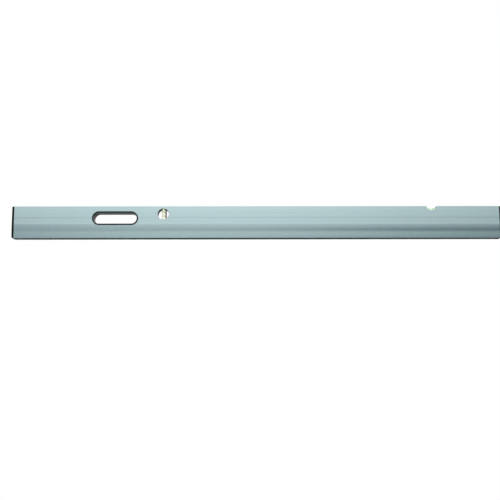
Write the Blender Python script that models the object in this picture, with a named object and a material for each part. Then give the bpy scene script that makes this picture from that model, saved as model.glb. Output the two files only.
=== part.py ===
"""Spirit level: a hollow straight-edge level with a hand hole, a plumb vial and a level vial.

X runs along the level, Y runs through its thickness with the front face at -Y, and Z is up
from the bottom measuring edge. The origin is the middle of that edge. Sizes are in metres.
"""

import math

import bmesh
import bpy

# Driving dimensions of the whole level
LENGTH = 1.500
HEIGHT = 0.100
THICKNESS = 0.018

# Fits: clearance between pieces that touch, and between a printed line and its tube
FIT = 0.0003
LINE_GAP = 0.0001

# Extruded profile. A taper is how far a face draws in from the belly, its widest height. The face
# turns in by the break's share of the lower taper at once, and the rest follows as a curve
WALL = 0.0015
WEB = 0.0016
EDGE_RADIUS = 0.0010
LOWER_CREASE = 0.0262
BELLY = 0.0447
UPPER_CREASE = 0.0635
FOOT_TAPER = 0.0010
LOWER_CREASE_TAPER = 0.0005
UPPER_CREASE_TAPER = 0.0001
HEAD_TAPER = 0.0002
CREASE_DEPTH = 0.0002
CREASE_WIDTH = 0.0020
BELLY_BREAK = 0.35
BELLY_STEPS = 5
CORNER_STEPS = 4

# End caps
CAP_FLANGE = 0.0064
CAP_PLUG = 0.0150
CAP_INSET = 0.0004
CAP_LOWER_RADIUS = 0.0050
CAP_UPPER_RADIUS = 0.0012
CAP_ROOT = 0.0020
CAP_STEPS = 5

# Hand hole and its two grip shells
HAND_HOLE_FROM_LEFT = 0.315
HAND_HOLE_BELOW_TOP = 0.0376
HAND_HOLE_WIDTH = 0.132
HAND_HOLE_HEIGHT = 0.0338
GRIP_WALL = 0.0020
GRIP_RIM = 0.0045
GRIP_PROUD = 0.0015
GRIP_RIM_RADIUS = 0.0008
GRIP_LIP_RADIUS = 0.0016
GRIP_END_STEPS = 20
GRIP_LIP_STEPS = 3

# Plumb vial: a round window, a carrier in the upper chamber and an upright tube
PLUMB_FROM_LEFT = 0.462
PLUMB_WINDOW = 0.0344
PLUMB_LID = 0.0050
PLUMB_SEAT = 0.0025
PLUMB_CARRIER_SIDE = 0.0065
PLUMB_CARRIER_FOOT = 0.0060
PLUMB_TUBE = 0.0110
PLUMB_TUBE_WALL = 0.0014
PLUMB_PLUG = 0.0030
PLUMB_BUBBLE_LENGTH = 0.0100
PLUMB_BUBBLE_WIDTH = 0.0054
STAY_WIDTH = 0.0026
STAY_DEPTH = 0.0040
STAY_REACH = 0.0104

# Level vial: a round notch in the top edge, a cradle in the upper chamber and a lying tube
LEVEL_FROM_RIGHT = 0.2143
NOTCH_RADIUS = 0.0151
LEVEL_SINK = 0.0012
LEVEL_TUBE = 0.0114
LEVEL_TUBE_WALL = 0.0014
LEVEL_TUBE_LENGTH = 0.0560
LEVEL_PLUG = 0.0040
LEVEL_BUBBLE_LENGTH = 0.0110
LEVEL_BUBBLE_WIDTH = 0.0048
LEVEL_BUBBLE_HEIGHT = 0.0022
CRADLE_POST = 0.0100
CRADLE_BRIDGE = 0.0060
CRADLE_DROP = 0.0005
CRADLE_SET_BACK = 0.0025

# Ring lines on both vials, either side of a centred bubble
LINE_WIDTH = 0.0005
LINE_RAISE = 0.0003
LINE_MARGIN = 0.0007

# Facets round a full circle, by size of the circle
WINDOW_FACETS = 48
TUBE_FACETS = 32
BUBBLE_FACETS = 20
BUBBLE_RINGS = 12

# Cutters run this far past the faces that they cut
OVERRUN = 0.0050

# Meshing: points closer than this are one point, and flatter edges than this are shaded smooth
WELD = 0.000001
SMOOTH_DEG = 30.0

# Places worked out from the sizes above
HALF_LENGTH = LENGTH / 2.0
PROFILE_HALF = HALF_LENGTH - CAP_FLANGE
HALF_THICKNESS = THICKNESS / 2.0
LOWER_CHAMBER_HALF = HALF_THICKNESS - FOOT_TAPER - WALL
UPPER_CHAMBER_HALF = HALF_THICKNESS - max(HEAD_TAPER, LOWER_CREASE_TAPER) - WALL
WEB_TOP = LOWER_CREASE + WEB / 2.0
WEB_BOTTOM = LOWER_CREASE - WEB / 2.0
CEILING = HEIGHT - WALL
INSERT_HALF = UPPER_CHAMBER_HALF - FIT
INSERT_TOP = CEILING - FIT
INSERT_FLOOR = WEB_TOP + FIT
HAND_HOLE_X = -HALF_LENGTH + HAND_HOLE_FROM_LEFT
HAND_HOLE_Z = HEIGHT - HAND_HOLE_BELOW_TOP
PLUMB_X = -HALF_LENGTH + PLUMB_FROM_LEFT
PLUMB_OPENING_RADIUS = PLUMB_WINDOW / 2.0 + FIT
PLUMB_Z = INSERT_TOP - PLUMB_LID - PLUMB_OPENING_RADIUS
PLUMB_TUBE_TOP = INSERT_TOP - FIT
PLUMB_TUBE_BOTTOM = PLUMB_Z - PLUMB_OPENING_RADIUS - PLUMB_SEAT
LEVEL_X = HALF_LENGTH - LEVEL_FROM_RIGHT
NOTCH_BOTTOM = INSERT_TOP - LEVEL_SINK - LEVEL_TUBE
LEVEL_Z = NOTCH_BOTTOM + LEVEL_TUBE / 2.0
NOTCH_Z = NOTCH_BOTTOM + NOTCH_RADIUS

# Rotations that stand a flat outline up: its own x and y become the two world axes named
OUTLINE_YZ = (math.pi / 2.0, 0.0, math.pi / 2.0)
OUTLINE_XZ = (math.pi / 2.0, 0.0, 0.0)
OUTLINE_XZ_REAR = (math.pi / 2.0, 0.0, math.pi)
OUTLINE_XY = (0.0, 0.0, 0.0)

# Finishes: colour, roughness, metallic
ALUMINIUM = ((0.56, 0.66, 0.67), 0.38, 1.0)
BLACK_PLASTIC = ((0.020, 0.020, 0.021), 0.55, 0.0)
WHITE_PLASTIC = ((0.80, 0.82, 0.80), 0.50, 0.0)
CLEAR_ACRYLIC = ((0.90, 0.94, 0.91), 0.08, 0.0)
YELLOW_FLUID = ((0.72, 0.86, 0.22), 0.10, 0.0)
GREEN_FLUID = ((0.32, 0.80, 0.42), 0.10, 0.0)
AIR = ((0.93, 0.97, 0.90), 0.05, 0.0)
PRINT_BLACK = ((0.015, 0.015, 0.015), 0.60, 0.0)


def clear_scene():
    """Remove every object, so that the script can run again in the same file."""
    for old in list(bpy.data.objects):
        bpy.data.objects.remove(old, do_unlink=True)


def new_collection(name):
    """Make a collection under the scene, or empty the one of that name."""
    found = bpy.data.collections.get(name)
    if found is not None:
        bpy.data.collections.remove(found)
    made = bpy.data.collections.new(name)
    bpy.context.scene.collection.children.link(made)
    return made


clear_scene()
PARTS = new_collection("spirit_level")
CUTTERS = new_collection("spirit_level_cutters")


def finish(obj, look):
    """Give a part its own Principled material."""
    colour, roughness, metallic = look
    made = bpy.data.materials.new(obj.name + "_finish")
    made.use_nodes = True
    shader = made.node_tree.nodes["Principled BSDF"]
    shader.inputs["Base Color"].default_value = (*colour, 1.0)
    shader.inputs["Roughness"].default_value = roughness
    shader.inputs["Metallic"].default_value = metallic
    obj.data.materials.clear()
    obj.data.materials.append(made)


def place(obj, look=None):
    """Put an object among the parts, or among the hidden cutters when it has no look."""
    if look is None:
        CUTTERS.objects.link(obj)
        obj.hide_render = True
        obj.display_type = "WIRE"
        return obj
    PARTS.objects.link(obj)
    obj.data.shade_smooth()
    obj.data.set_sharp_from_angle(angle=math.radians(SMOOTH_DEG))
    finish(obj, look)
    return obj


def arc(centre, radius, start_deg, end_deg, steps):
    """Points along an arc, both ends included."""
    points = []
    for i in range(steps + 1):
        angle = math.radians(start_deg + (end_deg - start_deg) * i / steps)
        points.append((centre[0] + radius * math.cos(angle), centre[1] + radius * math.sin(angle)))
    return points


def circle(radius, facets):
    """A closed ring of points."""
    return arc((0.0, 0.0), radius, 0.0, 360.0, facets)[:-1]


def rectangle(low, high):
    """A closed rectangle from its lowest and highest corners."""
    return [(low[0], low[1]), (high[0], low[1]), (high[0], high[1]), (low[0], high[1])]


def stadium(width, height, steps):
    """A closed slot with half-round ends, centred on the origin."""
    radius = height / 2.0
    reach = width / 2.0 - radius
    right = arc((reach, 0.0), radius, -90.0, 90.0, steps)
    left = arc((-reach, 0.0), radius, 90.0, 270.0, steps)
    return right + left


def flat_curve(name, loops):
    """A flat curve of closed outlines; an outline inside another is a hole."""
    curve = bpy.data.curves.new(name, "CURVE")
    curve.dimensions = "2D"
    for loop in loops:
        spline = curve.splines.new("POLY")
        spline.points.add(len(loop) - 1)
        for point, (x, y) in zip(spline.points, loop):
            point.co = (x, y, 0.0, 1.0)
        spline.use_cyclic_u = True
    return curve


def mesh_from_curve(name, curve, rotation, location):
    """Turn a curve into a closed mesh object at the given place."""
    source = bpy.data.objects.new(name + "_curve", curve)
    source.rotation_euler = rotation
    source.location = location
    CUTTERS.objects.link(source)
    graph = bpy.context.evaluated_depsgraph_get()
    mesh = bpy.data.meshes.new_from_object(source.evaluated_get(graph))
    mesh.name = name
    body = bmesh.new()
    body.from_mesh(mesh)
    bmesh.ops.remove_doubles(body, verts=body.verts, dist=WELD)
    bmesh.ops.recalc_face_normals(body, faces=body.faces)
    body.to_mesh(mesh)
    body.free()
    made = bpy.data.objects.new(name, mesh)
    made.matrix_world = source.matrix_world.copy()
    bpy.data.objects.remove(source, do_unlink=True)
    return made


def outline_solid(name, loops, depth, rotation, location, look=None):
    """A flat outline extruded evenly to both sides of its plane."""
    curve = flat_curve(name, loops)
    curve.fill_mode = "BOTH"
    curve.extrude = depth / 2.0
    return place(mesh_from_curve(name, curve, rotation, location), look)


def swept_ring(name, path, section, rotation, location, look):
    """A closed section carried round a closed path."""
    guide = bpy.data.objects.new(name + "_section", flat_curve(name + "_section", [section]))
    place(guide)
    curve = flat_curve(name, [path])
    curve.bevel_mode = "OBJECT"
    curve.bevel_object = guide
    return place(mesh_from_curve(name, curve, rotation, location), look)


def ellipsoid(name, size, location, look):
    """A ball stretched to the given size."""
    mesh = bpy.data.meshes.new(name)
    body = bmesh.new()
    bmesh.ops.create_uvsphere(body, u_segments=BUBBLE_FACETS, v_segments=BUBBLE_RINGS, radius=0.5)
    bmesh.ops.scale(body, vec=size, verts=body.verts)
    body.to_mesh(mesh)
    body.free()
    made = bpy.data.objects.new(name, mesh)
    made.location = location
    return place(made, look)


def combine(target, tool, operation):
    """Cut a cutter out of a part, or join it on."""
    step = target.modifiers.new(tool.name, "BOOLEAN")
    step.operation = operation
    step.solver = "EXACT"
    step.object = tool


def cut_at_once(target, tools):
    """Cut several cutters out of a part in one step, so that no cut meets edges left by another."""
    group = new_collection(target.name + "_cutters")
    for tool in tools:
        group.objects.link(tool)
    step = target.modifiers.new(group.name, "BOOLEAN")
    step.operation = "DIFFERENCE"
    step.solver = "EXACT"
    step.operand_type = "COLLECTION"
    step.collection = group


def taper_at(height):
    """How far a face draws in at a height: straight foot and head, with a rounded belly between."""
    if height < LOWER_CREASE:
        share = (LOWER_CREASE - height) / LOWER_CREASE
        return LOWER_CREASE_TAPER + (FOOT_TAPER - LOWER_CREASE_TAPER) * share
    if height < BELLY:
        share = (BELLY - height) / (BELLY - LOWER_CREASE)
        return LOWER_CREASE_TAPER * share * (BELLY_BREAK + (1.0 - BELLY_BREAK) * share)
    if height < UPPER_CREASE:
        share = (height - BELLY) / (UPPER_CREASE - BELLY)
        return UPPER_CREASE_TAPER * share * share
    share = (height - UPPER_CREASE) / (HEIGHT - UPPER_CREASE)
    return UPPER_CREASE_TAPER + (HEAD_TAPER - UPPER_CREASE_TAPER) * share


def face_points():
    """Half section of the rear face between its rounded edges, from foot to head."""
    half_crease = CREASE_WIDTH / 2.0
    low = LOWER_CREASE + half_crease
    high = UPPER_CREASE - half_crease
    heights = [LOWER_CREASE - half_crease, LOWER_CREASE]
    heights += [low + (BELLY - low) * i / BELLY_STEPS for i in range(BELLY_STEPS)]
    heights += [BELLY + (high - BELLY) * i / BELLY_STEPS for i in range(BELLY_STEPS + 1)]
    heights += [UPPER_CREASE, UPPER_CREASE + half_crease]
    points = []
    for height in heights:
        groove = CREASE_DEPTH if height in (LOWER_CREASE, UPPER_CREASE) else 0.0
        points.append((HALF_THICKNESS - taper_at(height) - groove, height))
    return points


def profile_outline(inset):
    """Outer section of the extrusion in Y and Z, drawn in all round by an inset."""
    bottom = EDGE_RADIUS + inset
    top = HEIGHT - EDGE_RADIUS - inset
    foot = HALF_THICKNESS - taper_at(bottom) - EDGE_RADIUS - inset
    head = HALF_THICKNESS - taper_at(top) - EDGE_RADIUS - inset
    rear = [(y - inset, z) for y, z in face_points()]
    front = [(-y, z) for y, z in reversed(rear)]
    outline = arc((foot, bottom), EDGE_RADIUS, -90.0, 0.0, CORNER_STEPS)
    outline += rear
    outline += arc((head, top), EDGE_RADIUS, 0.0, 90.0, CORNER_STEPS)
    outline += arc((-head, top), EDGE_RADIUS, 90.0, 180.0, CORNER_STEPS)
    outline += front
    outline += arc((-foot, bottom), EDGE_RADIUS, 180.0, 270.0, CORNER_STEPS)
    return outline


def build_profile():
    """The extrusion, with its two chambers, cut for the hand hole, the window and the notch."""
    long = 2.0 * PROFILE_HALF
    middle = (0.0, 0.0, 0.0)
    profile = outline_solid("profile", [profile_outline(0.0)], long, OUTLINE_YZ, middle, ALUMINIUM)
    lower = rectangle((-LOWER_CHAMBER_HALF, WALL), (LOWER_CHAMBER_HALF, WEB_BOTTOM))
    upper = rectangle((-UPPER_CHAMBER_HALF, WEB_TOP), (UPPER_CHAMBER_HALF, CEILING))
    cutters = []
    for name, loop in [("lower_chamber_cutter", lower), ("upper_chamber_cutter", upper)]:
        cutters.append(outline_solid(name, [loop], long + 2.0 * OVERRUN, OUTLINE_YZ, middle))
    through = THICKNESS + 2.0 * OVERRUN
    sleeve = 2.0 * (GRIP_WALL + FIT)
    slot = stadium(HAND_HOLE_WIDTH + sleeve, HAND_HOLE_HEIGHT + sleeve, GRIP_END_STEPS)
    openings = [
        ("hand_hole_cutter", slot, (HAND_HOLE_X, 0.0, HAND_HOLE_Z)),
        ("window_cutter", circle(PLUMB_WINDOW / 2.0, WINDOW_FACETS), (PLUMB_X, 0.0, PLUMB_Z)),
        ("notch_cutter", circle(NOTCH_RADIUS, WINDOW_FACETS), (LEVEL_X, 0.0, NOTCH_Z)),
    ]
    for name, loop, spot in openings:
        cutters.append(outline_solid(name, [loop], through, OUTLINE_XZ, spot))
    cut_at_once(profile, cutters)


def cap_side_view(side):
    """Side view of a cap's flange in X and Z, which rounds its two outer corners."""
    low = CAP_INSET
    high = HEIGHT - CAP_INSET
    lower = (CAP_FLANGE - CAP_LOWER_RADIUS, low + CAP_LOWER_RADIUS)
    upper = (CAP_FLANGE - CAP_UPPER_RADIUS, high - CAP_UPPER_RADIUS)
    view = [(-OVERRUN, low - OVERRUN), (lower[0], low - OVERRUN)]
    view += arc(lower, CAP_LOWER_RADIUS, -90.0, 0.0, CAP_STEPS)
    view += arc(upper, CAP_UPPER_RADIUS, 0.0, 90.0, CAP_STEPS)
    view += [(upper[0], high + OVERRUN), (-OVERRUN, high + OVERRUN)]
    return [(side * x, z) for x, z in view]


def build_end_cap(name, side):
    """A cap outside one end of the profile, with a plug in each chamber. Side is -1 or 1."""
    flange = CAP_FLANGE - FIT
    cap = outline_solid(
        name,
        [profile_outline(CAP_INSET)],
        flange,
        OUTLINE_YZ,
        (side * (HALF_LENGTH - flange / 2.0), 0.0, 0.0),
        BLACK_PLASTIC,
    )
    rounding = outline_solid(
        name + "_rounding",
        [cap_side_view(side)],
        THICKNESS + 2.0 * OVERRUN,
        OUTLINE_XZ,
        (side * PROFILE_HALF, 0.0, 0.0),
    )
    combine(cap, rounding, "INTERSECT")
    chambers = [
        ("lower", LOWER_CHAMBER_HALF - FIT, WALL + FIT, WEB_BOTTOM - FIT),
        ("upper", INSERT_HALF, INSERT_FLOOR, INSERT_TOP),
    ]
    for label, half, floor, ceiling in chambers:
        plug = outline_solid(
            name + "_" + label + "_plug",
            [rectangle((-half, floor), (half, ceiling))],
            CAP_PLUG + CAP_ROOT,
            OUTLINE_YZ,
            (side * (PROFILE_HALF - (CAP_PLUG - CAP_ROOT) / 2.0), 0.0, 0.0),
        )
        combine(cap, plug, "UNION")


def grip_section():
    """Section of a grip shell. A section's -x points out of its path, and its y to the rim's face."""
    seam = FIT / 2.0
    under = HALF_THICKNESS + FIT
    face = HALF_THICKNESS + GRIP_PROUD
    rim_round = min(GRIP_RIM_RADIUS, face - under)
    rim_centre = (GRIP_RIM - rim_round, face - rim_round)
    lip_centre = (GRIP_LIP_RADIUS, face - GRIP_LIP_RADIUS)
    points = [(0.0, seam), (GRIP_WALL, seam), (GRIP_WALL, under), (GRIP_RIM, under)]
    points += arc(rim_centre, rim_round, 0.0, 90.0, GRIP_LIP_STEPS)
    points += arc(lip_centre, GRIP_LIP_RADIUS, 90.0, 180.0, GRIP_LIP_STEPS)
    return [(-out, forward) for out, forward in points]


def build_grip():
    """Two shells that line the hand hole, one from each face."""
    path = stadium(HAND_HOLE_WIDTH, HAND_HOLE_HEIGHT, GRIP_END_STEPS)
    spot = (HAND_HOLE_X, 0.0, HAND_HOLE_Z)
    shells = [("grip_front_shell", OUTLINE_XZ), ("grip_rear_shell", OUTLINE_XZ_REAR)]
    for name, rotation in shells:
        swept_ring(name, path, grip_section(), rotation, spot, BLACK_PLASTIC)


def ring(name, outer, inner, length, rotation, centre, look):
    """A short or long tube between two radii."""
    loops = [circle(outer, TUBE_FACETS), circle(inner, TUBE_FACETS)]
    return outline_solid(name, loops, length, rotation, centre, look)


def rod(name, radius, length, rotation, centre, look=None):
    """A plain round bar."""
    return outline_solid(name, [circle(radius, TUBE_FACETS)], length, rotation, centre, look)


def build_plumb_vial():
    """The carrier behind the round window, with a stay hung beside the upright vial that it holds."""
    half = PLUMB_OPENING_RADIUS + PLUMB_CARRIER_SIDE
    seat = PLUMB_TUBE_BOTTOM - FIT
    body = rectangle((-half, INSERT_FLOOR - PLUMB_Z), (half, INSERT_TOP - PLUMB_Z))
    pocket = rectangle(
        (-half + PLUMB_CARRIER_FOOT, INSERT_FLOOR + PLUMB_CARRIER_FOOT - PLUMB_Z),
        (half - PLUMB_CARRIER_FOOT, seat - PLUMB_CARRIER_FOOT - PLUMB_Z),
    )
    carrier = outline_solid(
        "plumb_carrier",
        [body, circle(PLUMB_OPENING_RADIUS, WINDOW_FACETS), pocket],
        2.0 * INSERT_HALF,
        OUTLINE_XZ,
        (PLUMB_X, 0.0, PLUMB_Z),
        BLACK_PLASTIC,
    )
    top = INSERT_TOP + OVERRUN
    bore = rod(
        "plumb_tube_cutter",
        PLUMB_TUBE / 2.0 + FIT,
        top - seat,
        OUTLINE_XY,
        (PLUMB_X, 0.0, (top + seat) / 2.0),
    )
    combine(carrier, bore, "DIFFERENCE")
    beside = PLUMB_TUBE / 2.0 + LINE_GAP + LINE_RAISE + FIT
    hung = INSERT_TOP - PLUMB_LID / 2.0
    stay = outline_solid(
        "plumb_stay",
        [rectangle((beside, PLUMB_Z - STAY_REACH), (beside + STAY_WIDTH, hung))],
        STAY_DEPTH,
        OUTLINE_XZ,
        (PLUMB_X, 0.0, 0.0),
    )
    combine(carrier, stay, "UNION")

    length = PLUMB_TUBE_TOP - PLUMB_TUBE_BOTTOM
    middle = (PLUMB_TUBE_TOP + PLUMB_TUBE_BOTTOM) / 2.0
    inner = PLUMB_TUBE / 2.0 - PLUMB_TUBE_WALL
    fluid_half = length / 2.0 - PLUMB_PLUG - FIT
    centre = (PLUMB_X, 0.0, middle)
    ring("plumb_tube", PLUMB_TUBE / 2.0, inner, length, OUTLINE_XY, centre, CLEAR_ACRYLIC)
    ends = [("plumb_plug_top", 1.0), ("plumb_plug_bottom", -1.0)]
    for name, side in ends:
        spot = (PLUMB_X, 0.0, middle + side * (length - PLUMB_PLUG) / 2.0)
        rod(name, inner - FIT, PLUMB_PLUG, OUTLINE_XY, spot, WHITE_PLASTIC)

    channel = PLUMB_BUBBLE_WIDTH / 2.0 + FIT
    ring("plumb_fluid", inner - FIT, channel, 2.0 * fluid_half, OUTLINE_XY, centre, YELLOW_FLUID)
    rest = middle + fluid_half - PLUMB_BUBBLE_LENGTH / 2.0
    size = (PLUMB_BUBBLE_WIDTH, PLUMB_BUBBLE_WIDTH, PLUMB_BUBBLE_LENGTH)
    ellipsoid("plumb_bubble", size, (PLUMB_X, 0.0, rest), AIR)

    offset = PLUMB_BUBBLE_LENGTH / 2.0 + LINE_MARGIN
    for name, side in [("plumb_line_upper", 1.0), ("plumb_line_lower", -1.0)]:
        line_ring(name, PLUMB_TUBE / 2.0, OUTLINE_XY, (PLUMB_X, 0.0, middle + side * offset))


def line_ring(name, tube_radius, rotation, centre):
    """A thin black line round a tube."""
    inner = tube_radius + LINE_GAP
    ring(name, inner + LINE_RAISE, inner, LINE_WIDTH, rotation, centre, PRINT_BLACK)


def cradle_outline():
    """Front view of the cradle: two posts joined by a bridge under the notch."""
    inner = NOTCH_RADIUS + CRADLE_SET_BACK
    outer = inner + CRADLE_POST
    bridge_top = NOTCH_BOTTOM - CRADLE_DROP
    bridge_bottom = bridge_top - CRADLE_BRIDGE
    right = [
        (inner, bridge_bottom),
        (inner, INSERT_FLOOR),
        (outer, INSERT_FLOOR),
        (outer, INSERT_TOP),
        (inner, INSERT_TOP),
        (inner, bridge_top),
    ]
    left = [(-x, z) for x, z in reversed(right)]
    return right + left


def build_level_vial():
    """The cradle under the notch and the lying vial that it holds."""
    cradle = outline_solid(
        "level_cradle",
        [cradle_outline()],
        2.0 * INSERT_HALF,
        OUTLINE_XZ,
        (LEVEL_X, 0.0, 0.0),
        WHITE_PLASTIC,
    )
    centre = (LEVEL_X, 0.0, LEVEL_Z)
    radius = LEVEL_TUBE / 2.0
    inner = radius - LEVEL_TUBE_WALL
    long_cut = LEVEL_TUBE_LENGTH + 2.0 * OVERRUN
    seat = rod("level_tube_cutter", radius + FIT, long_cut, OUTLINE_YZ, centre)
    combine(cradle, seat, "DIFFERENCE")

    ring("level_tube", radius, inner, LEVEL_TUBE_LENGTH, OUTLINE_YZ, centre, CLEAR_ACRYLIC)
    for name, side in [("level_plug_left", -1.0), ("level_plug_right", 1.0)]:
        spot = (LEVEL_X + side * (LEVEL_TUBE_LENGTH - LEVEL_PLUG) / 2.0, 0.0, LEVEL_Z)
        rod(name, inner - FIT, LEVEL_PLUG, OUTLINE_YZ, spot, WHITE_PLASTIC)

    fluid_length = LEVEL_TUBE_LENGTH - 2.0 * (LEVEL_PLUG + FIT)
    fluid = rod("level_fluid", inner - FIT, fluid_length, OUTLINE_YZ, centre, GREEN_FLUID)
    bubble_z = LEVEL_Z + inner - FIT - LEVEL_BUBBLE_HEIGHT / 2.0
    half_width = LEVEL_BUBBLE_WIDTH / 2.0 + FIT
    half_height = LEVEL_BUBBLE_HEIGHT / 2.0 + FIT
    oval = [(half_width * x, half_height * y) for x, y in circle(1.0, TUBE_FACETS)]
    spot = (LEVEL_X, 0.0, bubble_z)
    channel = outline_solid("bubble_channel_cutter", [oval], long_cut, OUTLINE_YZ, spot)
    combine(fluid, channel, "DIFFERENCE")
    size = (LEVEL_BUBBLE_LENGTH, LEVEL_BUBBLE_WIDTH, LEVEL_BUBBLE_HEIGHT)
    ellipsoid("level_bubble", size, spot, AIR)

    offset = LEVEL_BUBBLE_LENGTH / 2.0 + LINE_MARGIN
    for name, side in [("level_line_left", -1.0), ("level_line_right", 1.0)]:
        line_ring(name, radius, OUTLINE_YZ, (LEVEL_X + side * offset, 0.0, LEVEL_Z))


build_profile()
build_end_cap("end_cap_left", -1.0)
build_end_cap("end_cap_right", 1.0)
build_grip()
build_plumb_vial()
build_level_vial()
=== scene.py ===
"""Looks of the spirit level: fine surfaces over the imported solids, finishes, stage, lights and camera.

Sizes are in metres, in the frame of the solids: X along the level, front face at -Y, Z up.
"""

import math

import bmesh
import bpy
from mathutils import Matrix, Vector


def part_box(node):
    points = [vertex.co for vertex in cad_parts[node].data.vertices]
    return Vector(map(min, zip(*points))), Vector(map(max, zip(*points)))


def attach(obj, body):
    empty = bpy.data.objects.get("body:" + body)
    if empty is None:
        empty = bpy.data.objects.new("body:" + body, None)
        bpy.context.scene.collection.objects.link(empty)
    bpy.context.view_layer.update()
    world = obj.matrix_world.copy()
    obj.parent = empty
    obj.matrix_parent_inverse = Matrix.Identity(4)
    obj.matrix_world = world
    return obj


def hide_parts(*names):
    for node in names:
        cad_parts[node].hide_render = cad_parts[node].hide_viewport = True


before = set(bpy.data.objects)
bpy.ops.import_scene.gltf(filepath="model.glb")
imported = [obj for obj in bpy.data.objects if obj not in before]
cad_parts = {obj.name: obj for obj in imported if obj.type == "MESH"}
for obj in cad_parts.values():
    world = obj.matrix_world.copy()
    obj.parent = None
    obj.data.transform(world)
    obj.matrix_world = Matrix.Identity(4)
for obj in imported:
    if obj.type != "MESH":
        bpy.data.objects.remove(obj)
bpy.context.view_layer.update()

# Clearance between pieces that fit together
FIT = 0.0003

# Extruded profile: its box comes from the solid, and its section follows the solid's with finer turns
PROFILE_LOW, PROFILE_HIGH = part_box("profile")
HALF_LENGTH = PROFILE_HIGH.x
HALF_THICKNESS = PROFILE_HIGH.y
HEIGHT = PROFILE_HIGH.z
WALL = 0.0015
WEB = 0.0016
EDGE_RADIUS = 0.0010
CORNER_STEPS = 8

# Faces of the profile: heights of the creases and the belly, how far each draws in, and what lies between
LOWER_CREASE = 0.0262
BELLY = 0.0447
UPPER_CREASE = 0.0635
FOOT_TAPER = 0.0009
LOWER_CREASE_TAPER = 0.00045
UPPER_CREASE_TAPER = 0.00006
HEAD_TAPER = 0.0002
BELLY_BREAK = 0.35
FOOT_FILLET = 0.0090
FOOT_SLOPE = 0.0120
BELLY_HOLLOW = 0.00002
CREASE_DEPTH = 0.00006
CREASE_WIDTH = 0.0060
CREASE_FOOT = UPPER_CREASE - CREASE_WIDTH / 2.0
HEAD_BOW = 0.00004
FACE_STEP = 0.0010

# Machined places on the profile: sawn ends, a milled stripe along the bottom edge, and rims of openings
END_CHAMFER = 0.0003
MILL_HALF = 0.0046
MILL_STEP = 0.0001
MILL_RAMP = 0.0003
RIM_CHAMFER = 0.0004

# Finishes of the profile: their places in its list, and the lean of normals that tells its faces apart
MILLED = 1
CUT = 2
FLAT_NORMAL = 0.99
END_NORMAL = 0.2

# End caps: the left cap's box gives the flange's width and how far it lies inside the profile's outline
CAP_LEFT_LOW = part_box("end_cap_left")[0]
CAP_FLANGE = PROFILE_LOW.x - CAP_LEFT_LOW.x
CAP_INSET = CAP_LEFT_LOW.z
CAP_LOWER_RADIUS = 0.0050
CAP_UPPER_RADIUS = 0.0012
CAP_CORNER_STEPS = 12
CAP_BEVEL = 0.0007
CAP_BEVEL_STEPS = 3
CAP_PLUG = 0.0150

# Hand hole: the grip's box gives the outside of its rim
GRIP_LOW, GRIP_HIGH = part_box("grip_front_shell")
GRIP_RIM = 0.0045
GRIP_WALL = 0.0020
GRIP_DRAFT = 0.0003
GRIP_LIP_RADIUS = 0.0017
GRIP_RIM_RADIUS = 0.0008
GRIP_SEAM_BEVEL = 0.0003
GRIP_END_STEPS = 48
GRIP_STRAIGHT_STEPS = 12
GRIP_ARC_STEPS = 8
HOLE_X = (GRIP_LOW.x + GRIP_HIGH.x) / 2.0
HOLE_Z = (GRIP_LOW.z + GRIP_HIGH.z) / 2.0
HOLE_WIDTH = GRIP_HIGH.x - GRIP_LOW.x - 2.0 * GRIP_RIM
HOLE_HEIGHT = GRIP_HIGH.z - GRIP_LOW.z - 2.0 * GRIP_RIM

# Window and notch: the boxes of the vials' solids give their places
WINDOW_RADIUS = 0.0172
NOTCH_RADIUS = 0.0151
ROUND_STEPS = 96
PLUMB_TUBE_LOW, PLUMB_TUBE_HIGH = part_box("plumb_tube")
PLUMB_CARRIER_LOW, PLUMB_CARRIER_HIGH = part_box("plumb_carrier")
PLUMB_X = (PLUMB_TUBE_LOW.x + PLUMB_TUBE_HIGH.x) / 2.0
PLUMB_LID = 0.0050
WINDOW_Z = PLUMB_CARRIER_HIGH.z - PLUMB_LID - WINDOW_RADIUS - FIT
LEVEL_TUBE_LOW, LEVEL_TUBE_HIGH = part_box("level_tube")
LEVEL_X = (LEVEL_TUBE_LOW.x + LEVEL_TUBE_HIGH.x) / 2.0
LEVEL_Z = (LEVEL_TUBE_LOW.z + LEVEL_TUBE_HIGH.z) / 2.0
NOTCH_Z = LEVEL_TUBE_LOW.z + NOTCH_RADIUS

# Blocks that hold the vials: a carrier with a stay beside its tube, and a cradle of two posts and a bridge
STAY_WIDTH = 0.0026
STAY_DEPTH = 0.0040
STAY_REACH = 0.0104
STAY_GAP = 0.0007
POCKET_WALL = 0.0060
CARRIER_BEVEL = 0.0004
CRADLE_POST = 0.0100
CRADLE_BRIDGE = 0.0060
CRADLE_DROP = 0.0005
CRADLE_SET_BACK = 0.0025
CRADLE_BEVEL = 0.0002
BLOCK_BEVEL_STEPS = 2

# Vials: tubes, ring lines, plugs with a dimple sized by their radius, and bubbles
TUBE_WALL = 0.0014
TUBE_END_ROUND = 0.0004
TUBE_END_STEPS = 4
TUBE_STEPS = 64
BARREL = 0.0001
BORE_STEPS = 12
LINE_ROUND = 0.00008
PLUG_DIMPLE = 0.0006
DIMPLE_RIM_SHARE = 0.55
DIMPLE_FLOOR_SHARE = 0.40
BUBBLE_SLIM = 0.94
BUBBLE_BLUNT = 0.8
BUBBLE_STEPS = 24

# Mesh work: how far cutters run past, the weld distance, and the angles for bevels and smooth shading
OVERRUN = 0.0050
WELD = 0.0000002
BEVEL_FROM_DEG = 35.0
SMOOTH_DEG = 28.0

# Finishes: the part of a noise's range that is used, and how the vials bend and pass light
NOISE_LOW = 0.3
NOISE_HIGH = 0.7
NOISE_ROUGHNESS = 0.55
TUBE_IOR = 1.34
FLUID_IOR = 1.33
FLUID_CLEAR = 0.65
BUBBLE_IOR = 1.45

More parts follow.
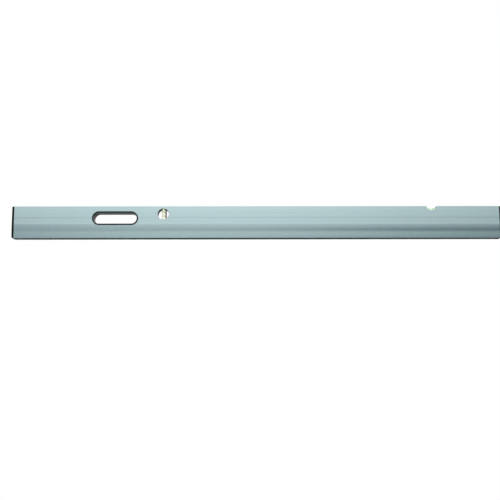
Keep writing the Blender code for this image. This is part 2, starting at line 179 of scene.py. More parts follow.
# Camera, fitted to the photograph's frame
CAMERA_PLACE = Vector((-0.0293, -1.35, -0.4225))
CAMERA_PITCH_DEG = 4.5
CAMERA_YAW_DEG = 0.254
CAMERA_ROLL_DEG = -0.153
CAMERA_LENS_MM = 32.33
CAMERA_RISE = 0.1830

# Floor
FLOOR_RADIUS = 9.0
FLOOR_STEPS = 192
FLOOR_GAP = 0.0004
FLOOR_TONE = 0.86
FLOOR_ROUGHNESS = 0.9

# World: its colours, and the ranges of a direction's Z and Y over which they blend
HORIZON = (0.08, 0.12, 0.14)
HORIZON_AT = 0.30
ZENITH = (0.86, 0.88, 0.88)
ZENITH_AT = 0.9
REAR_WALL = (0.95, 0.96, 0.96)
REAR_FROM = 0.05
REAR_AT = 0.45

# Softboxes and card: lamps, with what they face
BOX_TARGET = (0.0, 0.0, 0.05)
FRONT_BOX_PLACE = (-0.25, -2.3, 1.65)
FRONT_BOX_SIZE = (11.6, 1.95)
FRONT_BOX_RADIANCE = 0.424
FRONT_BOX_SPREAD_DEG = 130.0
CARD_PLACE = (-0.7, -2.4, 0.42)
CARD_TARGET = (-0.15, 0.0, 0.05)
CARD_SIZE = (4.4, 0.62)
CARD_RADIANCE = 0.20
CARD_SPREAD_DEG = 140.0
REAR_BOX_PLACE = (0.6, 2.2, 2.0)
REAR_BOX_SIZE = (2.4, 1.6)
REAR_BOX_RADIANCE = 0.6
REAR_BOX_SPREAD_DEG = 180.0


def curve_points(centre, radius, start_deg, end_deg, steps):
    """Points along an arc, both ends included."""
    points = []
    for i in range(steps + 1):
        angle = math.radians(start_deg + (end_deg - start_deg) * i / steps)
        points.append((centre[0] + radius * math.cos(angle), centre[1] + radius * math.sin(angle)))
    return points


def ring_points(radius, steps):
    """A closed ring of points about the origin."""
    return curve_points((0.0, 0.0), radius, 0.0, 360.0, steps)[:-1]


def stadium_path(width, height):
    """Points and outward normals round a slot with half-round ends."""
    radius = height / 2.0
    reach = width / 2.0 - radius
    path = []
    for side, start in [(1.0, -90.0), (-1.0, 90.0)]:
        for i in range(GRIP_END_STEPS + 1):
            angle = math.radians(start + 180.0 * i / GRIP_END_STEPS)
            out = (math.cos(angle), math.sin(angle))
            path.append(((side * reach + radius * out[0], radius * out[1]), out))
        for i in range(1, GRIP_STRAIGHT_STEPS):
            along = side * reach * (1.0 - 2.0 * i / GRIP_STRAIGHT_STEPS)
            path.append(((along, side * radius), (0.0, side)))
    return path


def grid_body(rows, wrap_rows):
    """A closed skin over rows of points; each row is a closed loop of the same count."""
    body = bmesh.new()
    made = [[body.verts.new(point) for point in row] for row in rows]
    count = len(rows[0])
    last = len(made) if wrap_rows else len(made) - 1
    for i in range(last):
        near = made[i]
        far = made[(i + 1) % len(made)]
        for j in range(count):
            k = (j + 1) % count
            body.faces.new((near[j], near[k], far[k], far[j]))
    if not wrap_rows:
        body.faces.new(made[0])
        body.faces.new(list(reversed(made[-1])))
    return body


def mesh_object(name, body):
    """Weld a body, turn its faces out and put it in the scene as an object."""
    bmesh.ops.remove_doubles(body, verts=body.verts, dist=WELD)
    bmesh.ops.dissolve_degenerate(body, edges=body.edges, dist=WELD)
    bmesh.ops.recalc_face_normals(body, faces=body.faces)
    mesh = bpy.data.meshes.new(name)
    body.to_mesh(mesh)
    body.free()
    made = bpy.data.objects.new(name, mesh)
    bpy.context.scene.collection.objects.link(made)
    return made


def smooth(obj):
    """Shade the gentle turns smooth and keep the sharp ones."""
    obj.data.shade_smooth()
    obj.data.set_sharp_from_angle(angle=math.radians(SMOOTH_DEG))
    return obj


def prism_x(name, outline, low, high):
    """An outline in Y and Z, extruded along X."""
    rows = [[(x, y, z) for y, z in outline] for x in (low, high)]
    return mesh_object(name, grid_body(rows, False))


def prism_y(name, outline, half_depth, centre=(0.0, 0.0)):
    """An outline in X and Z, extruded along Y to both sides of the middle."""
    rows = [[(centre[0] + x, y, centre[1] + z) for x, z in outline] for y in (-half_depth, half_depth)]
    return mesh_object(name, grid_body(rows, False))


def turned(name, profile, centre, axis, steps, closed=False):
    """A profile of (radius, along) pairs turned about an axis through the centre."""
    rows = []
    for radius, along in profile:
        row = []
        for a, b in ring_points(radius, steps):
            spot = {"X": (along, a, b), "Y": (a, along, b), "Z": (a, b, along)}[axis]
            row.append(Vector(centre) + Vector(spot))
        rows.append(row)
    return mesh_object(name, grid_body(rows, closed))


def half_along(low, high, axis):
    """Half of a box's length along the X or Z axis."""
    return (high.x - low.x) / 2.0 if axis == "X" else (high.z - low.z) / 2.0


def box_outline(low, high):
    """A rectangle from its lowest and highest corners."""
    return [(low[0], low[1]), (high[0], low[1]), (high[0], high[1]), (low[0], high[1])]


def bake(target):
    """Put the result of an object's modifiers into its mesh."""
    graph = bpy.context.evaluated_depsgraph_get()
    baked = bpy.data.meshes.new_from_object(target.evaluated_get(graph))
    target.modifiers.clear()
    target.data = baked


def carve(target, tools, operation="DIFFERENCE"):
    """Cut or join other objects, bake the result into the target's mesh and remove the tools."""
    for tool in tools:
        step = target.modifiers.new(tool.name, "BOOLEAN")
        step.operation = operation
        step.solver = "EXACT"
        step.object = tool
    bake(target)
    for tool in tools:
        bpy.data.objects.remove(tool, do_unlink=True)


def soften(target, width, segments):
    """Round the sharp edges of a moulding and bake the result."""
    step = target.modifiers.new("soften", "BEVEL")
    step.width = width
    step.segments = segments
    step.limit_method = "ANGLE"
    step.angle_limit = math.radians(BEVEL_FROM_DEG)
    step.use_clamp_overlap = True
    bake(target)


def dress(piece, body, nodes, finishes):
    """Give a piece its finishes, carry it on a body and let it stand for its solids."""
    piece.data.materials.clear()
    for finish in finishes:
        piece.data.materials.append(finish)
    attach(piece, body)
    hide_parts(*nodes)


# Finishes


def new_finish(name):
    """A node material; returns the material, its tree and its main shader."""
    made = bpy.data.materials.new(name)
    made.use_nodes = True
    tree = made.node_tree
    return made, tree, tree.nodes["Principled BSDF"]


def stretched_noise(tree, scale, detail):
    """Noise on the piece's own coordinates, stretched by a scale for each axis."""
    place = tree.nodes.new("ShaderNodeTexCoord")
    mapping = tree.nodes.new("ShaderNodeMapping")
    mapping.inputs["Scale"].default_value = scale
    noise = tree.nodes.new("ShaderNodeTexNoise")
    noise.inputs["Scale"].default_value = 1.0
    noise.inputs["Detail"].default_value = detail
    noise.inputs["Roughness"].default_value = NOISE_ROUGHNESS
    tree.links.new(place.outputs["Object"], mapping.inputs["Vector"])
    tree.links.new(mapping.outputs["Vector"], noise.inputs["Vector"])
    return noise.outputs["Fac"]


def ramp(tree, source, stops):
    """A colour ramp with two stops; each stop is a place from 0 to 1 and a colour."""
    node = tree.nodes.new("ShaderNodeValToRGB")
    for element, (place, colour) in zip(node.color_ramp.elements, stops):
        element.position = place
        element.color = (*colour, 1.0)
    tree.links.new(source, node.inputs["Fac"])
    return node.outputs["Color"]


def tint(tree, source, first, last):
    """Two colours mixed by the middle of a noise's range."""
    return ramp(tree, source, [(NOISE_LOW, first), (NOISE_HIGH, last)])


def spread(tree, source, low, high):
    """Map the middle of a noise's range onto low to high."""
    node = tree.nodes.new("ShaderNodeMapRange")
    node.inputs["From Min"].default_value = NOISE_LOW
    node.inputs["From Max"].default_value = NOISE_HIGH
    node.inputs["To Min"].default_value = low
    node.inputs["To Max"].default_value = high
    tree.links.new(source, node.inputs["Value"])
    return node.outputs["Result"]


def add_bump(tree, shader, source, strength, distance):
    """Fine relief from a noise."""
    node = tree.nodes.new("ShaderNodeBump")
    node.inputs["Strength"].default_value = strength
    node.inputs["Distance"].default_value = distance
    tree.links.new(source, node.inputs["Height"])
    tree.links.new(node.outputs["Normal"], shader.inputs["Normal"])


def aluminium():
    """Satin extruded aluminium with fine lines along its length."""
    made, tree, shader = new_finish("satin_aluminium")
    shader.inputs["Metallic"].default_value = 1.0
    broad = stretched_noise(tree, scale=(0.15, 40.0, 260.0), detail=3.0)
    fine = stretched_noise(tree, scale=(1.5, 900.0, 1800.0), detail=3.0)
    colour = tint(tree, broad, (0.500, 0.640, 0.650), (0.560, 0.700, 0.706))
    tree.links.new(colour, shader.inputs["Base Color"])
    tree.links.new(spread(tree, fine, low=0.16, high=0.22), shader.inputs["Roughness"])
    add_bump(tree, shader, fine, strength=0.12, distance=0.00004)
    return made


def milled_aluminium():
    """A measuring edge milled across its length, a little brighter than the faces."""
    made, tree, shader = new_finish("milled_aluminium")
    shader.inputs["Metallic"].default_value = 1.0
    passes = stretched_noise(tree, scale=(1500.0, 60.0, 60.0), detail=3.0)
    wear = stretched_noise(tree, scale=(14.0, 200.0, 200.0), detail=4.0)
    colour = tint(tree, wear, (0.60, 0.655, 0.66), (0.70, 0.745, 0.745))
    tree.links.new(colour, shader.inputs["Base Color"])
    tree.links.new(spread(tree, passes, low=0.26, high=0.40), shader.inputs["Roughness"])
    add_bump(tree, shader, passes, strength=0.25, distance=0.00005)
    return made


def cut_aluminium():
    """Bright edges left by the saw and the cutter."""
    made, tree, shader = new_finish("cut_aluminium")
    shader.inputs["Metallic"].default_value = 1.0
    grain = stretched_noise(tree, scale=(900.0, 900.0, 900.0), detail=3.0)
    colour = tint(tree, grain, (0.64, 0.69, 0.69), (0.76, 0.80, 0.80))
    tree.links.new(colour, shader.inputs["Base Color"])
    tree.links.new(spread(tree, grain, low=0.30, high=0.42), shader.inputs["Roughness"])
    return made


def moulded_plastic(name, dark, light, roughness, gloss):
    """Moulded plastic with a fine spark-eroded grain."""
    made, tree, shader = new_finish(name)
    shader.inputs["Specular IOR Level"].default_value = gloss
    grain = stretched_noise(tree, scale=(1600.0, 1600.0, 1600.0), detail=3.0)
    cloud = stretched_noise(tree, scale=(35.0, 35.0, 35.0), detail=3.0)
    tree.links.new(tint(tree, cloud, dark, light), shader.inputs["Base Color"])
    tree.links.new(spread(tree, grain, *roughness), shader.inputs["Roughness"])
    add_bump(tree, shader, grain, strength=0.18, distance=0.00006)
    return made


def clear_acrylic():
    """Polished clear tube."""
    made, tree, shader = new_finish("clear_acrylic")
    shader.inputs["Transmission Weight"].default_value = 1.0
    shader.inputs["IOR"].default_value = TUBE_IOR
    haze = stretched_noise(tree, scale=(240.0, 240.0, 240.0), detail=3.0)
    colour = tint(tree, haze, (0.94, 0.97, 0.95), (0.98, 0.99, 0.98))
    tree.links.new(colour, shader.inputs["Base Color"])
    tree.links.new(spread(tree, haze, low=0.02, high=0.06), shader.inputs["Roughness"])
    return made


def vial_fluid(name, pale, deep, painted_glow):
    """Fluorescent tinted fluid: part clear, part cloudy, with a weak painted glow: emission that stands in
    for its fluorescence.
    """
    made, tree, shader = new_finish(name)
    shader.inputs["Transmission Weight"].default_value = FLUID_CLEAR
    shader.inputs["IOR"].default_value = FLUID_IOR
    # Painted glow: the emission gives the fluid light of its own, standing in for fluorescence
    shader.inputs["Emission Color"].default_value = (*deep, 1.0)
    shader.inputs["Emission Strength"].default_value = painted_glow
    drift = stretched_noise(tree, scale=(160.0, 160.0, 160.0), detail=3.0)
    tree.links.new(tint(tree, drift, deep, pale), shader.inputs["Base Color"])
    tree.links.new(spread(tree, drift, low=0.02, high=0.08), shader.inputs["Roughness"])
    return made


def bubble_air():
    """The bubble: clear, with a bright skin."""
    made, tree, shader = new_finish("bubble_air")
    shader.inputs["Transmission Weight"].default_value = 1.0
    shader.inputs["IOR"].default_value = BUBBLE_IOR
    skin = stretched_noise(tree, scale=(300.0, 300.0, 300.0), detail=2.0)
    colour = tint(tree, skin, (0.95, 0.97, 0.92), (0.99, 1.0, 0.97))
    tree.links.new(colour, shader.inputs["Base Color"])
    tree.links.new(spread(tree, skin, low=0.01, high=0.04), shader.inputs["Roughness"])
    return made


# Shapes


def arch(rise, share):
    """A parabola that is nought at both ends of a stretch and highest in its middle."""
    return 4.0 * rise * share * (1.0 - share)


def taper_at(height):
    """How far a face draws in at a height: an eased foot, a belly, and a bowed head over a fine crease."""
    if height < LOWER_CREASE:
        drop = LOWER_CREASE - height
        eased = min(drop, FOOT_FILLET)
        rise = FOOT_TAPER - LOWER_CREASE_TAPER - FOOT_SLOPE * LOWER_CREASE
        ease = rise * (2.0 * eased / FOOT_FILLET - (eased / FOOT_FILLET) ** 2)
        return LOWER_CREASE_TAPER + FOOT_SLOPE * drop + ease
    if height < BELLY:
        share = (BELLY - height) / (BELLY - LOWER_CREASE)
        return LOWER_CREASE_TAPER * share * (BELLY_BREAK + (1.0 - BELLY_BREAK) * share)
    if height < CREASE_FOOT:
        share = (height - BELLY) / (CREASE_FOOT - BELLY)
        return (UPPER_CREASE_TAPER + CREASE_DEPTH) * share + arch(BELLY_HOLLOW, share)
    above = height - CREASE_FOOT
    share = above / (HEIGHT - CREASE_FOOT)
    groove = CREASE_DEPTH * max(0.0, 1.0 - above / CREASE_WIDTH) ** 2
    slope = (HEAD_TAPER - UPPER_CREASE_TAPER) * share
    return UPPER_CREASE_TAPER + slope - arch(HEAD_BOW, share) + groove


def face_heights(low, high):
    """Heights at which the face is sampled: even steps, and one at each change of its section."""
    turns = [LOWER_CREASE, BELLY, CREASE_FOOT]
    heights = list(turns)
    count = int((high - low) / FACE_STEP)
    for i in range(1, count):
        height = low + (high - low) * i / count
        if min(abs(height - turn) for turn in turns) > FACE_STEP / 2.0:
            heights.append(height)
    return sorted(heights)


def profile_outline(inset):
    """Outer section of the extrusion in Y and Z, drawn in all round by an inset."""
    bottom = EDGE_RADIUS + MILL_STEP + inset
    top = HEIGHT - EDGE_RADIUS - inset
    foot = HALF_THICKNESS - taper_at(bottom) - EDGE_RADIUS - inset
    head = HALF_THICKNESS - taper_at(top) - EDGE_RADIUS - inset
    rear = []
    for z in face_heights(bottom, top):
        rear.append((HALF_THICKNESS - taper_at(z) - inset, z))
    front = [(-y, z) for y, z in reversed(rear)]
    low = inset + MILL_STEP
    outline = [(-MILL_HALF - MILL_RAMP, low), (-MILL_HALF, inset)]
    outline += [(MILL_HALF, inset), (MILL_HALF + MILL_RAMP, low)]
    outline += curve_points((foot, bottom), EDGE_RADIUS, -90.0, 0.0, CORNER_STEPS)
    outline += rear
    outline += curve_points((head, top), EDGE_RADIUS, 0.0, 90.0, CORNER_STEPS)
    outline += curve_points((-head, top), EDGE_RADIUS, 90.0, 180.0, CORNER_STEPS)
    outline += front
    outline += curve_points((-foot, bottom), EDGE_RADIUS, 180.0, 270.0, CORNER_STEPS)
    return outline


def chamber_outlines(inset):
    """Sections of the two chambers, under and over the web, drawn in all round by an inset."""
    lower_half = HALF_THICKNESS - FOOT_TAPER - WALL - inset
    upper_half = HALF_THICKNESS - LOWER_CREASE_TAPER - WALL - inset
    web_low = LOWER_CREASE - WEB / 2.0
    web_high = LOWER_CREASE + WEB / 2.0
    lower = box_outline((-lower_half, WALL + inset), (lower_half, web_low - inset))
    upper = box_outline((-upper_half, web_high + inset), (upper_half, HEIGHT - WALL - inset))
    return lower, upper


def rim_cutter(name, radius, centre):
    """A round cutter along Y whose ends flare, so that each rim is left with a small chamfer."""
    face = HALF_THICKNESS - UPPER_CREASE_TAPER
    deep = face - RIM_CHAMFER
    wide = radius + RIM_CHAMFER + OVERRUN
    far = face + OVERRUN
    profile = [(0.0, -far), (wide, -far), (radius, -deep), (radius, deep), (wide, far), (0.0, far)]
    return turned(name, profile, centre, "Y", ROUND_STEPS)


def build_profile(finishes):
    """The extrusion with its chambers and openings, and chamfered ends and rims."""
    rows = []
    ends = [
        (-HALF_LENGTH, END_CHAMFER),
        (-HALF_LENGTH + END_CHAMFER, 0.0),
        (HALF_LENGTH - END_CHAMFER, 0.0),
        (HALF_LENGTH, END_CHAMFER),
    ]
    for x, inset in ends:
        rows.append([(x, y, z) for y, z in profile_outline(inset)])
    piece = mesh_object("profile_extrusion", grid_body(rows, False))
    lower, upper = chamber_outlines(0.0)
    past = HALF_LENGTH + OVERRUN
    sleeve = 2.0 * (GRIP_WALL + FIT)
    slot = [point for point, _ in stadium_path(HOLE_WIDTH + sleeve, HOLE_HEIGHT + sleeve)]
    tools = [
        prism_x("lower_chamber", lower, -past, past),
        prism_x("upper_chamber", upper, -past, past),
        prism_y("hand_slot", slot, HALF_THICKNESS + OVERRUN, (HOLE_X, HOLE_Z)),
        rim_cutter("window", WINDOW_RADIUS, (PLUMB_X, 0.0, WINDOW_Z)),
        rim_cutter("notch", NOTCH_RADIUS, (LEVEL_X, 0.0, NOTCH_Z)),
    ]
    carve(piece, tools)
    smooth(piece)
    dress(piece, "level", ["profile"], finishes)
    inner_side = HALF_THICKNESS - WALL - HEAD_TAPER - FOOT_TAPER
    for face in piece.data.polygons:
        flat = abs(face.normal.z) > FLAT_NORMAL
        at_edge = face.center.z < MILL_STEP or face.center.z > HEIGHT - MILL_STEP
        if flat and at_edge:
            face.material_index = MILLED
        elif abs(face.normal.x) > END_NORMAL or (abs(face.center.y) < inner_side and not flat):
            face.material_index = CUT


def build_end_cap(side, finish):
    """A cap outside one end, rounded as a moulding, with a plug for each chamber. Side is -1 or 1."""
    node = "end_cap_left" if side < 0 else "end_cap_right"
    low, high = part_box(node)
    outer = HALF_LENGTH + CAP_FLANGE
    root = HALF_LENGTH + FIT
    near, far = sorted((side * root, side * outer))
    piece = prism_x(node + "_moulding", profile_outline(CAP_INSET), near, far)
    lower = (CAP_FLANGE - CAP_LOWER_RADIUS, low.z + CAP_LOWER_RADIUS)
    upper = (CAP_FLANGE - CAP_UPPER_RADIUS, high.z - CAP_UPPER_RADIUS)
    view = [(-OVERRUN, low.z - OVERRUN), (lower[0], low.z - OVERRUN)]
    view += curve_points(lower, CAP_LOWER_RADIUS, -90.0, 0.0, CAP_CORNER_STEPS)
    view += curve_points(upper, CAP_UPPER_RADIUS, 0.0, 90.0, CAP_CORNER_STEPS)
    view += [(upper[0], high.z + OVERRUN), (-OVERRUN, high.z + OVERRUN)]
    view = [(side * x, z) for x, z in view]
    rounding = prism_y("rounding", view, HALF_THICKNESS + OVERRUN, (side * HALF_LENGTH, 0.0))
    carve(piece, [rounding], "INTERSECT")
    near, far = sorted((side * (HALF_LENGTH - CAP_PLUG), side * (root + FIT)))
    plugs = [prism_x("plug", outline, near, far) for outline in chamber_outlines(FIT)]
    carve(piece, plugs, "UNION")
    soften(piece, CAP_BEVEL, CAP_BEVEL_STEPS)
    smooth(piece)
    dress(piece, "level", [node], [finish])


def grip_section():
    """Section of a grip shell: distance out from the hole's wall, and forward from the seam."""
    seam = FIT / 2.0
    under = HALF_THICKNESS + FIT
    face = -GRIP_LOW.y
    lip = (GRIP_LIP_RADIUS, face - GRIP_LIP_RADIUS)
    rim = (GRIP_RIM - GRIP_RIM_RADIUS, face - GRIP_RIM_RADIUS)
    points = [
        (GRIP_DRAFT + GRIP_SEAM_BEVEL, seam),
        (GRIP_WALL, seam),
        (GRIP_WALL, under),
        (GRIP_RIM - GRIP_SEAM_BEVEL, under),
        (GRIP_RIM, under + GRIP_SEAM_BEVEL),
    ]
    points += curve_points(rim, GRIP_RIM_RADIUS, 0.0, 90.0, GRIP_ARC_STEPS)
    points += curve_points(lip, GRIP_LIP_RADIUS, 90.0, 180.0, GRIP_ARC_STEPS)
    points += [(GRIP_DRAFT, seam + GRIP_SEAM_BEVEL)]
    return points


def build_grip(node, side, finish):
    """One shell of the hand hole's lining. Side is -1 for the front and 1 for the rear."""
    rows = []
    for (x, z), (out_x, out_z) in stadium_path(HOLE_WIDTH, HOLE_HEIGHT):
        row = []
        for out, forward in grip_section():
            row.append((HOLE_X + x + out * out_x, side * forward, HOLE_Z + z + out * out_z))
        rows.append(row)
    piece = smooth(mesh_object(node + "_moulding", grid_body(rows, True)))
    dress(piece, "level", [node], [finish])


def build_plumb_carrier(finish):
    """The block behind the round window, with the stay beside the vial."""
    low, high = PLUMB_CARRIER_LOW, PLUMB_CARRIER_HIGH
    half_depth = high.y
    piece = prism_y("plumb_carrier_moulding", box_outline((low.x, low.z), (high.x, high.z)), half_depth)
    tube_radius = (PLUMB_TUBE_HIGH.x - PLUMB_TUBE_LOW.x) / 2.0
    seat = PLUMB_TUBE_LOW.z - FIT
    pocket = box_outline(
        (low.x + POCKET_WALL, low.z + POCKET_WALL),
        (high.x - POCKET_WALL, seat - POCKET_WALL),
    )
    bore = [(0.0, seat), (tube_radius + FIT, seat), (tube_radius + FIT, high.z + OVERRUN)]
    bore += [(0.0, high.z + OVERRUN)]
    deep = half_depth + OVERRUN
    opening = ring_points(WINDOW_RADIUS + FIT, ROUND_STEPS)
    tools = [
        prism_y("opening", opening, deep, (PLUMB_X, WINDOW_Z)),
        prism_y("pocket", pocket, deep),
        turned("bore", bore, (PLUMB_X, 0.0, 0.0), "Z", TUBE_STEPS),
    ]
    carve(piece, tools)
    near = PLUMB_X + tube_radius + STAY_GAP
    stay = box_outline((near, WINDOW_Z - STAY_REACH), (near + STAY_WIDTH, high.z - PLUMB_LID / 2.0))
    carve(piece, [prism_y("stay", stay, STAY_DEPTH / 2.0)], "UNION")
    soften(piece, CARRIER_BEVEL, BLOCK_BEVEL_STEPS)
    smooth(piece)
    dress(piece, "level", ["plumb_carrier"], [finish])


def build_cradle(finish):
    """Two posts and a bridge that hold the lying vial under the notch."""
    low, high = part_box("level_cradle")
    inner = NOTCH_RADIUS + CRADLE_SET_BACK
    outer = inner + CRADLE_POST
    bridge_top = LEVEL_TUBE_LOW.z - CRADLE_DROP
    bridge_low = bridge_top - CRADLE_BRIDGE
    right = [
        (inner, bridge_low),
        (inner, low.z),
        (outer, low.z),
        (outer, high.z),
        (inner, high.z),
        (inner, bridge_top),
    ]
    outline = right + [(-x, z) for x, z in reversed(right)]
    piece = prism_y("level_cradle_moulding", outline, high.y, (LEVEL_X, 0.0))
    radius = (LEVEL_TUBE_HIGH.z - LEVEL_TUBE_LOW.z) / 2.0 + FIT
    long = outer + OVERRUN
    bore = [(0.0, -long), (radius, -long), (radius, long), (0.0, long)]
    carve(piece, [turned("bore", bore, (LEVEL_X, 0.0, LEVEL_Z), "X", TUBE_STEPS)])
    soften(piece, CRADLE_BEVEL, BLOCK_BEVEL_STEPS)
    smooth(piece)
    dress(piece, "level", ["level_cradle"], [finish])


def build_tube(node, axis, finish):
    """A clear tube with rounded ends and a slightly barrelled bore."""
    low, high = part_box(node)
    centre = (low + high) / 2.0
    half = half_along(low, high, axis)
    radius = (high.y - low.y) / 2.0
    inner = radius - TUBE_WALL
    corner = (radius - TUBE_END_ROUND, half - TUBE_END_ROUND)
    outside = curve_points(corner, TUBE_END_ROUND, 90.0, 0.0, TUBE_END_STEPS)
    profile = [(inner + TUBE_END_ROUND / 2.0, half)] + outside
    profile += [(r, -along) for r, along in reversed(profile)]
    for i in range(BORE_STEPS + 1):
        along = -half + TUBE_END_ROUND / 2.0 + (2.0 * half - TUBE_END_ROUND) * i / BORE_STEPS
        profile.append((inner + BARREL * (1.0 - (along / half) ** 2), along))
    piece = smooth(turned(node + "_clear", profile, centre, axis, TUBE_STEPS, True))
    dress(piece, "level", [node], [finish])


def build_fluid(node, tube, axis, finish):
    """The fluid that fills a tube's bore, crowned at both ends."""
    low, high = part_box(node)
    tube_low, tube_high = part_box(tube)
    centre = (tube_low + tube_high) / 2.0
    half = half_along(low, high, axis)
    radius = (high.y - low.y) / 2.0
    profile = [(0.0, -half), (radius - FIT, -half)]
    for i in range(BORE_STEPS + 1):
        along = (half - FIT) * (2.0 * i / BORE_STEPS - 1.0)
        profile.append((radius + BARREL * (1.0 - (along / half) ** 2), along))
    profile += [(radius - FIT, half), (0.0, half)]
    piece = smooth(turned(node + "_fill", profile, centre, axis, TUBE_STEPS))
    dress(piece, "level", [node], [finish])


def build_plug(node, axis, outward, finish):
    """A plug that closes a tube, with a dimple in its outer end."""
    low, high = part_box(node)
    centre = (low + high) / 2.0
    half = half_along(low, high, axis)
    radius = (high.y - low.y) / 2.0
    profile = [(0.0, -half), (radius - TUBE_END_ROUND, -half), (radius, -half + TUBE_END_ROUND)]
    profile += [(radius, half - TUBE_END_ROUND), (radius - TUBE_END_ROUND, half)]
    floor = half - PLUG_DIMPLE
    profile += [(radius * DIMPLE_RIM_SHARE, half), (radius * DIMPLE_FLOOR_SHARE, floor), (0.0, floor)]
    profile = [(r, outward * along) for r, along in profile]
    piece = smooth(turned(node + "_stopper", profile, centre, axis, TUBE_STEPS))
    dress(piece, "level", [node], [finish])


def build_line(node, axis, finish):
    """A printed ring line, thicker in the middle of its width."""
    low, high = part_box(node)
    centre = (low + high) / 2.0
    half = half_along(low, high, axis)
    outer = (high.y - low.y) / 2.0
    inner = outer - FIT
    profile = [(inner, -half), (outer - LINE_ROUND, -half), (outer, -half + LINE_ROUND)]
    profile += [(outer, half - LINE_ROUND), (outer - LINE_ROUND, half), (inner, half)]
    piece = smooth(turned(node + "_print", profile, centre, axis, TUBE_STEPS, True))
    dress(piece, "level", [node], [finish])


def build_bubble(node, axis, body, finish):
    """A bubble: a long drop with blunt ends, flattened where it lies just under the fluid's skin."""
    low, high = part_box(node)
    centre = (low + high) / 2.0
    size = (high - low) / 2.0
    half = half_along(low, high, axis)
    profile = []
    for i in range(BUBBLE_STEPS + 1):
        angle = math.pi * i / BUBBLE_STEPS
        profile.append((math.sin(angle) ** BUBBLE_BLUNT, -half * math.cos(angle)))
    piece = turned(node + "_air", profile, (0.0, 0.0, 0.0), axis, TUBE_STEPS)
    slim = size * BUBBLE_SLIM
    across = (1.0, slim.y, slim.z) if axis == "X" else (slim.x, slim.y, 1.0)
    piece.data.transform(Matrix.Translation(centre) @ Matrix.Diagonal((*across, 1.0)))
    smooth(piece)
    dress(piece, body, [node], [finish])


def build_vials(white, print_black):
    """Both vials: tubes, fluids, plugs, lines and bubbles."""
    clear = clear_acrylic()
    air = bubble_air()
    # The last number of each fluid is a painted glow: emission that stands in for fluorescence
    yellow = vial_fluid("yellow_fluid", pale=(0.95, 0.96, 0.82), deep=(0.88, 0.92, 0.68), painted_glow=0.16)
    green = vial_fluid("green_fluid", pale=(0.80, 0.93, 0.77), deep=(0.62, 0.87, 0.60), painted_glow=0.15)
    vials = [
        ("plumb", "Z", "yellow_fluid", yellow, ["lower", "upper"], ["bottom", "top"]),
        ("level", "X", "green_fluid", green, ["left", "right"], ["left", "right"]),
    ]
    for vial, axis, slot, fluid, lines, plugs in vials:
        build_tube(vial + "_tube", axis, clear)
        build_fluid(vial + "_fluid", vial + "_tube", axis, fluid)
        build_bubble(vial + "_bubble", axis, vial + "_bubble_body", air)
        for line in lines:
            build_line(vial + "_line_" + line, axis, print_black)
        for plug, outward in zip(plugs, (-1.0, 1.0)):
            build_plug(vial + "_plug_" + plug, axis, outward, white)


# Stage, light and camera


def build_floor():
    """A round pale floor under the level, open to views from below."""
    under = (0.0, 0.0, -FLOOR_GAP)
    bpy.ops.mesh.primitive_circle_add(
        vertices=FLOOR_STEPS, radius=FLOOR_RADIUS, fill_type="NGON", location=under
    )
    floor = bpy.context.object
    floor.name = "floor"
    made, tree, shader = new_finish("pale_floor")
    shader.inputs["Base Color"].default_value = (FLOOR_TONE, FLOOR_TONE, FLOOR_TONE, 1.0)
    shader.inputs["Roughness"].default_value = FLOOR_ROUGHNESS
    side = tree.nodes.new("ShaderNodeNewGeometry")
    clear = tree.nodes.new("ShaderNodeBsdfTransparent")
    mix = tree.nodes.new("ShaderNodeMixShader")
    tree.links.new(side.outputs["Backfacing"], mix.inputs["Fac"])
    tree.links.new(shader.outputs["BSDF"], mix.inputs[1])
    tree.links.new(clear.outputs["BSDF"], mix.inputs[2])
    tree.links.new(mix.outputs["Shader"], tree.nodes["Material Output"].inputs["Surface"])
    floor.data.materials.append(made)


def build_world():
    """A studio that is cool and dim at the horizon and white above, in front of a white background."""
    world = bpy.data.worlds.new("studio")
    bpy.context.scene.world = world
    world.use_nodes = True
    tree = world.node_tree
    tree.nodes.clear()
    place = tree.nodes.new("ShaderNodeTexCoord")
    split = tree.nodes.new("ShaderNodeSeparateXYZ")
    tree.links.new(place.outputs["Generated"], split.inputs["Vector"])
    colour = ramp(tree, split.outputs["Z"], [(HORIZON_AT, HORIZON), (ZENITH_AT, ZENITH)])
    front = tree.nodes.new("ShaderNodeBackground")
    tree.links.new(colour, front.inputs["Color"])
    rear = tree.nodes.new("ShaderNodeBackground")
    rear.inputs["Color"].default_value = (*REAR_WALL, 1.0)
    turn = ramp(tree, split.outputs["Y"], [(REAR_FROM, (0.0, 0.0, 0.0)), (REAR_AT, (1.0, 1.0, 1.0))])
    studio = tree.nodes.new("ShaderNodeMixShader")
    tree.links.new(turn, studio.inputs["Fac"])
    tree.links.new(front.outputs["Background"], studio.inputs[1])
    tree.links.new(rear.outputs["Background"], studio.inputs[2])
    white = tree.nodes.new("ShaderNodeBackground")
    white.inputs["Color"].default_value = (1.0, 1.0, 1.0, 1.0)
    path = tree.nodes.new("ShaderNodeLightPath")
    seen = tree.nodes.new("ShaderNodeMath")
    seen.operation = "MAXIMUM"
    tree.links.new(path.outputs["Is Camera Ray"], seen.inputs[0])
    tree.links.new(path.outputs["Is Transmission Ray"], seen.inputs[1])
    mix = tree.nodes.new("ShaderNodeMixShader")
    tree.links.new(seen.outputs["Value"], mix.inputs["Fac"])
    tree.links.new(studio.outputs["Shader"], mix.inputs[1])
    tree.links.new(white.outputs["Background"], mix.inputs[2])
    out = tree.nodes.new("ShaderNodeOutputWorld")
    tree.links.new(mix.outputs["Shader"], out.inputs["Surface"])


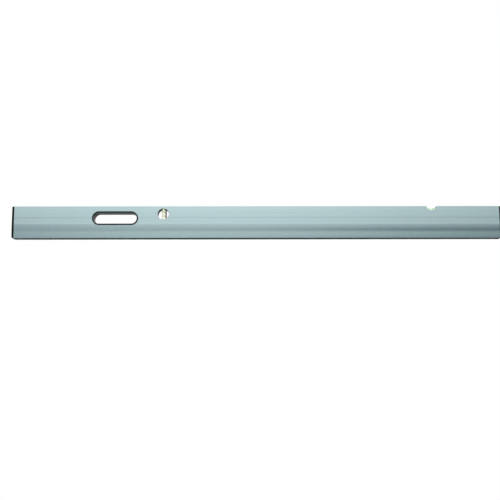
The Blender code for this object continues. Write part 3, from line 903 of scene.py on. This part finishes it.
def add_softbox(name, shape, place, target, size, radiance, spread_deg):
    """An area lamp that faces a target; a spread under 180 degrees dims it off its axis."""
    lamp = bpy.data.lights.new(name, "AREA")
    lamp.shape = shape
    lamp.size, lamp.size_y = size
    area = size[0] * size[1] * (math.pi / 4.0 if shape == "ELLIPSE" else 1.0)
    lamp.energy = radiance * math.pi * area
    lamp.spread = math.radians(spread_deg)
    made = bpy.data.objects.new(name, lamp)
    made.location = place
    made.rotation_euler = (Vector(target) - Vector(place)).to_track_quat("-Z", "Y").to_euler()
    made.visible_camera = False
    bpy.context.scene.collection.objects.link(made)


def build_lights():
    """A wide softbox in front and above with a dim card under it, and a smaller softbox behind."""
    add_softbox("front_softbox", "ELLIPSE", FRONT_BOX_PLACE, BOX_TARGET, FRONT_BOX_SIZE,
                FRONT_BOX_RADIANCE, FRONT_BOX_SPREAD_DEG)
    add_softbox("front_card", "ELLIPSE", CARD_PLACE, CARD_TARGET, CARD_SIZE, CARD_RADIANCE, CARD_SPREAD_DEG)
    add_softbox("rear_softbox", "RECTANGLE", REAR_BOX_PLACE, BOX_TARGET, REAR_BOX_SIZE,
                REAR_BOX_RADIANCE, REAR_BOX_SPREAD_DEG)


def build_camera():
    """The camera at the photograph's place, looking up a little from the bottom edge's side."""
    pitch = math.radians(CAMERA_PITCH_DEG)
    yaw = math.radians(CAMERA_YAW_DEG)
    roll = math.radians(CAMERA_ROLL_DEG)
    ahead = Vector((math.sin(yaw) * math.cos(pitch), math.cos(yaw) * math.cos(pitch), math.sin(pitch)))
    right = Vector((math.cos(yaw), -math.sin(yaw), 0.0))
    up = right.cross(ahead)
    turned_right = math.cos(roll) * right + math.sin(roll) * up
    turned_up = math.cos(roll) * up - math.sin(roll) * right
    turn = Matrix((turned_right, turned_up, -ahead)).transposed()
    data = bpy.data.cameras.new("photo_camera")
    data.lens = CAMERA_LENS_MM
    data.shift_y = CAMERA_RISE
    camera = bpy.data.objects.new("photo_camera", data)
    camera.matrix_world = Matrix.Translation(CAMERA_PLACE) @ turn.to_4x4()
    bpy.context.scene.collection.objects.link(camera)
    bpy.context.scene.camera = camera


def build_level():
    """Every piece of the level."""
    black = moulded_plastic(
        "black_plastic", dark=(0.009, 0.009, 0.010), light=(0.015, 0.015, 0.016),
        roughness=(0.42, 0.58), gloss=0.30,
    )
    cap = moulded_plastic(
        "cap_plastic", dark=(0.004, 0.004, 0.0045), light=(0.007, 0.007, 0.0075),
        roughness=(0.50, 0.65), gloss=0.12,
    )
    grip = moulded_plastic(
        "grip_plastic", dark=(0.008, 0.008, 0.009), light=(0.013, 0.013, 0.014),
        roughness=(0.28, 0.40), gloss=0.45,
    )
    white = moulded_plastic(
        "white_plastic", dark=(0.76, 0.79, 0.77), light=(0.84, 0.86, 0.84),
        roughness=(0.40, 0.55), gloss=0.50,
    )
    line = moulded_plastic(
        "line_print", dark=(0.012, 0.012, 0.012), light=(0.022, 0.022, 0.022),
        roughness=(0.45, 0.60), gloss=0.30,
    )
    build_profile([aluminium(), milled_aluminium(), cut_aluminium()])
    build_end_cap(-1.0, cap)
    build_end_cap(1.0, cap)
    build_grip("grip_front_shell", -1.0, grip)
    build_grip("grip_rear_shell", 1.0, grip)
    build_plumb_carrier(black)
    build_cradle(white)
    build_vials(white, line)


build_level()
build_floor()
build_world()
build_lights()
build_camera()
bpy.context.scene.view_settings.view_transform = "Standard"
